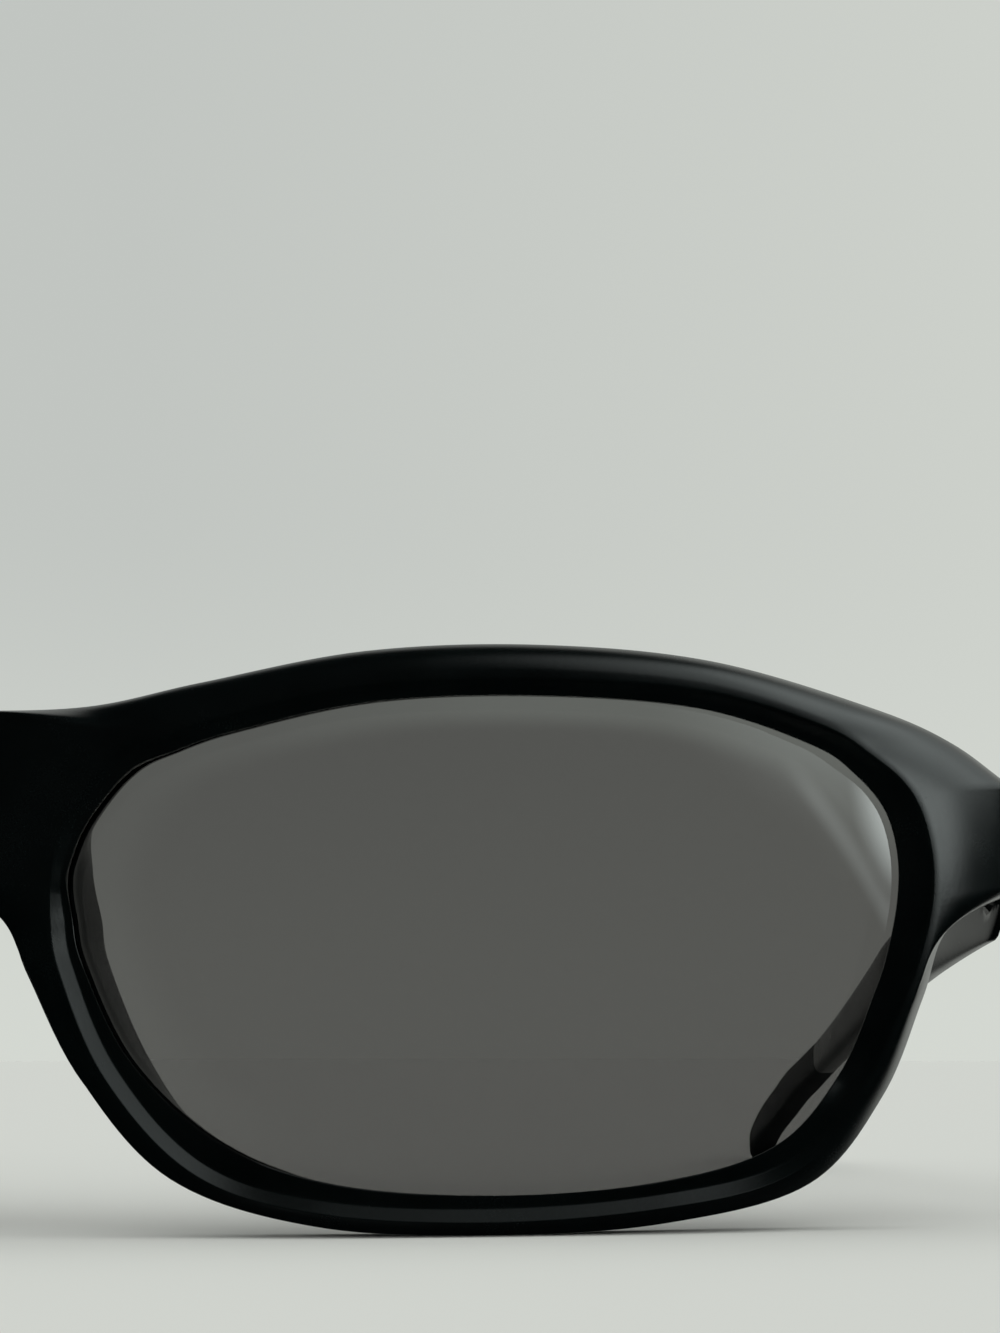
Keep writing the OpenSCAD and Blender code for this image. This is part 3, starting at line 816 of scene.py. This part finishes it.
def halfHeight(t):
    if t < gripFrom:
        slimmed = 1 - (1 - t / gripFrom) ** temple["slimming"]
        return (mix(temple["rootHeight"], temple["height"], slimmed) - chamfer(t)) / 2
    return mix(temple["height"], temple["gripHeight"], swell(t, temple["gripSwell"][0])) / 2


def halfThick(t):
    if t < gripFrom:
        return mix(front["endThick"], temple["thick"], math.sqrt(t / gripFrom)) / 2
    return mix(temple["thick"], temple["gripThick"], swell(t, temple["gripSwell"][1])) / 2


# The rounded end of the grip, which never shrinks to a point
def gripShrink(t):
    if t <= 1 - tipRound:
        return 1.0
    return math.sqrt(max(0.04, 1 - ((t - 1 + tipRound) / tipRound) ** 2))


# The tip is lifted as in the CAD model, whose grip has 16 sides and rings at these stops,
# until the lowest point of its grip just touches the ground
cadStops = [mix(gripStart, 1 - tipRound, i / 12) for i in range(13)]
cadStops += [1 - tipRound * (1 - f) for f in (0.4, 0.7, 0.9, 1)]
cadLow = math.cos(math.radians(180 / 16)) ** gripPower
tipZ = max((halfHeight(t) * gripShrink(t) * cadLow - fallZ(t)) / t for t in cadStops)


# A cosine or sine bent so that a circle becomes a rounded box
def squared(value, power):
    return math.copysign(abs(value) ** power, value)


# A rounded upright section: power 0.5 is nearly a box, and 1 is an ellipse
def templeRing(t, inset, power, shrink=1.0):
    ring = []
    for i in range(temple["around"]):
        angle = 2 * math.pi * (i + 0.5) / temple["around"]
        x = pathX(t) + (halfThick(t) - inset) * shrink * squared(math.cos(angle), power)
        z = fallZ(t) + tipZ * t + (halfHeight(t) - inset) * shrink * squared(math.sin(angle), power)
        # Below the end of the front only the outer side of the arm comes forward to the joint
        forward = 1 - min(1, t * temple["length"] / temple["scoop"])
        scooped = ease(clamp((endLow + temple["scoopTop"] - z) / temple["scoopBlend"])) * forward
        x = mix(x, mix(pathX(t) + halfThick(t), x, temple["scoopWall"]), scooped)
        ring.append(Vector((x, templeY + t * temple["length"], z)) + shift)
    return ring


def roundness(t):
    return mix(temple["rootPower"], gripPower, ease(min(1, t / temple["softAt"])))


def buildTemple(side, word):
    root = temple["rootRound"] / temple["length"]
    rings = [templeRing(t, inset, roundness(0)) for t, inset in ((0, 0.22), (root * 0.3, 0.07), (root, 0))]
    stops = [gripFrom * (i / 60) ** 1.4 for i in range(1, 61)]
    rings += [templeRing(t, 0, roundness(t)) for t in stops if t > root * 2]
    inset = temple["gripWall"] + temple["gripSpare"]
    rings += [templeRing(mix(gripFrom, coreEnd, i / 12), inset, temple["corePower"]) for i in range(13)]
    bm = loft(rings)
    for cutter in (leafSeat(1), barrelHole()):
        bm = cutAway(bm, cutter)
    nodes = (f"temple_{word.lower()}",)
    finishPiece(bm, "temple" + word, word.lower() + "_arm", frameMaterial, nodes, side=side)


# The grip, from the end of its hollow out to its lip and over its outside to the tip
def buildGrip(side, word):
    wall, hollowEnd = temple["gripWall"], coreEnd + temple["coreSpare"] / temple["length"]
    rings = [templeRing(mix(hollowEnd, gripStart, i / 16), wall, temple["corePower"]) for i in range(17)]
    lip = temple["gripLip"] / temple["length"]
    rings.append(templeRing(gripStart, 0.12, gripPower))
    rings.append(templeRing(gripStart + lip * 0.3, 0.03, gripPower))
    outer = [mix(gripStart, 1 - tipRound, i / 48) for i in range(49)]
    rings += [templeRing(max(t, gripStart + lip), 0, gripPower) for t in outer]
    for i in range(1, 13):
        t = 1 - tipRound * (1 - math.sin(math.radians(7.5 * i)) * 0.99)
        rings.append(templeRing(t, 0, gripPower, gripShrink(t)))
    bm = loft(rings)
    name, arm, nodes = "templeGrip" + word, word.lower() + "_arm", (f"temple_grip_{word.lower()}",)
    finishPiece(bm, name, arm, rubberMaterial, nodes, side=side)


for side, word in sides:
    buildTemple(side, word)
    buildGrip(side, word)
print("stage: temples and grips made")

pad = {
    "thick": 1.5,
    "sink": 0.05,  # how far its underside floats over the flange
    "wall": 0.3,  # height of its upright side
    "fromRow": 3.75,  # where it lies along the rows of the front
    "toRow": 6.5,
    "near": 0.22,  # and across the flange
    "far": 0.97,
    "around": 48,
    "squareness": 0.75,
}


# A point of the flange: along the rows of the front, and from its front edge to its rear edge
def flangeAt(row, share):
    s = stationAt(int(row), row - int(row))
    return Vector(s[2:5]).lerp(Vector(s[8:11]), share)


# The flange's outward direction there
def flangeOut(row, share):
    along = flangeAt(row + 0.1, share) - flangeAt(row - 0.1, share)
    across = flangeAt(row, share + 0.05) - flangeAt(row, share - 0.05)
    normal = along.cross(across).normalized()
    return -normal if normal.x > 0 else normal


# Each step of the pad's profile is its reach from the middle and its lift off the flange
def buildPad(side, word):
    p = pad
    profile = [(0.35, p["sink"]), (0.8, p["sink"]), (0.97, p["sink"]), (1.0, 0.12), (1.0, p["wall"])]
    for angle in (12, 24, 36, 48, 60, 70, 80, 86):
        a = math.radians(angle)
        profile.append((math.cos(a), p["wall"] + (p["thick"] - p["wall"]) * math.sin(a) ** 0.8))
    rings = []
    for reach, lift in profile:
        ring = []
        for i in range(p["around"]):
            angle = 2 * math.pi * i / p["around"]
            along, across = (reach * squared(v, p["squareness"]) for v in (math.cos(angle), math.sin(angle)))
            row = mix(p["fromRow"], p["toRow"], 0.5 + 0.5 * along)
            share = mix(p["near"], p["far"], 0.5 + 0.5 * across)
            ring.append(flangeAt(row, share) + flangeOut(row, share) * lift + shift)
        rings.append(ring)
    bm = loft(rings)
    nodes = (f"nose_pad_{word.lower()}",)
    finishPiece(bm, "nosePad" + word, "front", rubberMaterial, nodes, side=side)


for side, word in sides:
    buildPad(side, word)
print("stage: nose pads made")


# A copy of a CAD piece with its edges broken by a small bevel
def bevelledCopy(node, name, body, material, width):
    bm = bmesh.new()
    bm.from_mesh(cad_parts[node].data)
    bmesh.ops.remove_doubles(bm, verts=bm.verts, dist=weld)
    bmesh.ops.dissolve_limit(bm, angle_limit=math.radians(1), verts=bm.verts, edges=bm.edges)
    crisp = [e for e in bm.edges if len(e.link_faces) == 2 and e.calc_face_angle(0) > math.radians(40)]
    bmesh.ops.bevel(
        bm, geom=crisp, offset=width * mm, offset_type="OFFSET", affect="EDGES",
        segments=2, profile=0.5, material=-1, clamp_overlap=True,
    )
    finishPiece(bm, name, body, material, (node,), sharp=30, recalc=False)


for _, word in sides:
    side, arm = word.lower(), word.lower() + "_arm"
    leaf, head = hinge["leafBevel"], hinge["headBevel"]
    bevelledCopy(f"hinge_front_leaf_{side}", "hingeFrontLeaf" + word, "front", steelMaterial, leaf)
    bevelledCopy(f"hinge_temple_leaf_{side}", "hingeTempleLeaf" + word, arm, steelMaterial, leaf)
    bevelledCopy(f"hinge_screw_{side}", "hingeScrew" + word, "front", screwMaterial, head)
    bevelledCopy(f"front_rivets_{side}", "frontRivets" + word, "front", screwMaterial, head)
    bevelledCopy(f"temple_rivets_{side}", "templeRivets" + word, arm, screwMaterial, head)
print("stage: hinges made")

studio = {
    "floor": (0.70, 0.715, 0.68, 1.0),
    "floorSize": 40.0,  # metres
    "near": (0.655, 0.683, 0.638, 1.0),  # the backdrop where it meets the floor
    "left": (0.535, 0.560, 0.535, 1.0),  # and higher up, at the left and the right, where painted shade makes the left darker than the right
    "right": (0.615, 0.640, 0.600, 1.0),
    "nearTo": 0.22,  # how high the backdrop takes its upper colours, and between which sides it changes
    "across": (-0.22, 0.14),
    "fillLow": (0.18, 0.18, 0.18, 1.0),  # the soft light on every surface, away from its source
    "fillHigh": (1.50, 1.52, 1.50, 1.0),  # and towards it
    "fillFrom": (0.10, -0.60, 0.80),
    "dim": (0.010, 0.013, 0.013, 1.0),  # what glossy surfaces see of the dark room
    "lit": (0.93, 1.02, 1.0, 1.0),  # and of its lights, times their strength
    "brightest": 10.0,
    "behind": (0, 1, 0.21),  # around here they see the backdrop instead
    "behindFrom": 0.72,
    "behindTo": 0.88,
}
# Soft panels of light: azimuth from -Y towards +X, elevation, the cosines at which each begins
# and has its full strength, and that strength
panels = (
    (88, 45, 0.778, 0.999, 2.9),
    (82, 15, 0.977, 0.9995, 9.0),
    (118, 38, 0.873, 0.931, 1.0),
)
# A narrow band of light that the lens mirrors
streak = {
    "azimuth": 69.5,
    "elevation": 10.5,
    "slope": -57.0,
    "halfWidth": 0.034,
    "halfLength": 0.24,
    "strength": 1.1,
}


def addFloor(p):
    bm = bmesh.new()
    bmesh.ops.create_grid(bm, x_segments=1, y_segments=1, size=p["floorSize"])
    mesh = bpy.data.meshes.new("floor")
    bm.to_mesh(mesh)
    bm.free()
    obj = bpy.data.objects.new("floor", mesh)
    obj.visible_glossy = False
    scene.collection.objects.link(obj)
    f = Finish("paleFloor")
    mesh.materials.append(f.close(f.node("BsdfDiffuse", None, {"Color": p["floor"]})))


def heading(azimuth, elevation):
    a, e = math.radians(azimuth), math.radians(elevation)
    return Vector((math.sin(a) * math.cos(e), -math.cos(a) * math.cos(e), math.sin(e)))


def addWorld(p):
    world = bpy.data.worlds.new("studio")
    scene.world = world
    world.use_nodes = True
    world.cycles.sampling_method = "NONE"  # so that each kind of ray sees its own light
    f = Finish("studio", world.node_tree)
    way = f.node("TexCoord", output="Generated")

    def towards(direction):
        return f.node("VectorMath", {"operation": "DOT_PRODUCT"}, {0: way, 1: direction}, output="Value")

    lit = 0.0
    for azimuth, elevation, outer, inner, strength in panels:
        lit = f.span(towards(heading(azimuth, elevation)), outer, inner, 0.0, strength, soft=True) + lit
    s = streak
    middle = heading(s["azimuth"], s["elevation"])
    level = Vector((0, 0, 1)).cross(middle).normalized()
    upward = middle.cross(level)
    slope = math.radians(s["slope"])
    along = level * math.cos(slope) + upward * math.sin(slope)
    across = middle.cross(along)
    band = f.span(abs(towards(across)), s["halfWidth"], 0.0, soft=True)
    reach = f.span(abs(towards(along)), s["halfLength"], s["halfLength"] * 0.5, soft=True)
    ahead = f.span(towards(middle), 0.0, 0.2)
    lit = lit + band * reach * ahead * s["strength"]
    high = f.span(towards((0, 0, 1)), 0.0, p["nearTo"], soft=True)
    # painted shade: the backdrop is darker towards the left and lighter towards the right, as the light
    # falls from the right
    aside = f.span(towards((1, 0, 0)), *p["across"])
    backdrop = f.blend(high, p["near"], f.blend(aside, p["left"], p["right"]))
    shown = f.node("Background", None, {"Color": backdrop})
    full = tuple(p["brightest"] * v for v in p["lit"])
    gloss = f.node("Background", None, {"Color": f.blend(f.span(lit, 0.0, p["brightest"]), p["dim"], full)})
    soft = f.span(towards(Vector(p["fillFrom"]).normalized()), 0.0, 1.0)
    light = f.node("Background", None, {"Color": f.blend(soft, p["fillLow"], p["fillHigh"])})
    rays = ("Is Camera Ray", "Is Glossy Ray", "Is Transmission Ray")
    direct, glossy, through = (f.node("LightPath", output=k) for k in rays)
    atBack = f.span(towards(Vector(p["behind"]).normalized()), p["behindFrom"], p["behindTo"], soft=True)
    backdropSeen = direct + through + glossy * atBack
    mask = backdropSeen.maths("MINIMUM", backdropSeen, 1.0)
    room = f.node("MixShader", None, {0: glossy, 1: light, 2: gloss})
    f.close(f.node("MixShader", None, {0: mask, 1: room, 2: shown}), "World")


addFloor(studio)
addWorld(studio)
scene.view_settings.view_transform = "Standard"
print("stage: floor and world made")

bpy.context.view_layer.update()
